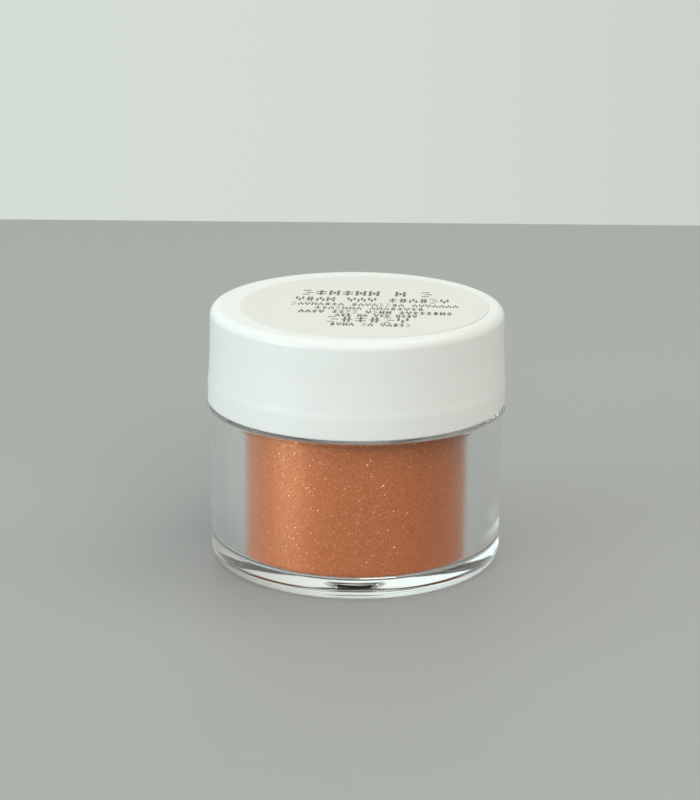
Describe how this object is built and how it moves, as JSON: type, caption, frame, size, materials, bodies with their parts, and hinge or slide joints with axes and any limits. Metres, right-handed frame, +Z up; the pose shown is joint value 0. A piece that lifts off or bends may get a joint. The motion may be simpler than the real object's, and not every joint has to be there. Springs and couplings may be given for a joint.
{
  "type": "cosmetic powder jar",
  "caption": "Small round thick-walled clear jar of bronze nail powder, closed by a smooth white screw lid with a round label.",
  "frame": {"origin": "centre of the jar's base, on the surface it stands on", "axes": "+Z up along the jar's axis; the right-handed threads start at +X"},
  "size_m": [0.0388, 0.0388, 0.0338],
  "materials": {
    "jar_clear": "clear polished polystyrene",
    "powder_bronze": "loose fine powder with a faint metallic sparkle",
    "lid_white": "smooth moulded white polypropylene, soft gloss",
    "liner_foam": "white closed-cell foam",
    "label_paper": "coated off-white paper with dark grey print"
  },
  "bodies": {
    "jar": {"jar_body": "jar_clear", "powder_fill": "powder_bronze"},
    "liner": {"lid_liner": "liner_foam"},
    "lid": {"screw_lid": "lid_white", "lid_label": "label_paper"}
  },
  "joints": [
    {"name": "lid_lift", "type": "slide", "parent": "jar", "child": "liner", "axis": [0, 0, 1], "range_m": [0, 0.0127]},
    {"name": "lid_turn", "type": "hinge", "parent": "liner", "child": "lid", "pos_m": [0, 0, 0.0212], "axis": [0, 0, 1], "range_deg": [0, 1080]}
  ],
  "couplings": [
    {"joint": "lid_turn", "follows": "lid_lift", "rad_per_m": 1484.2}
  ]
}
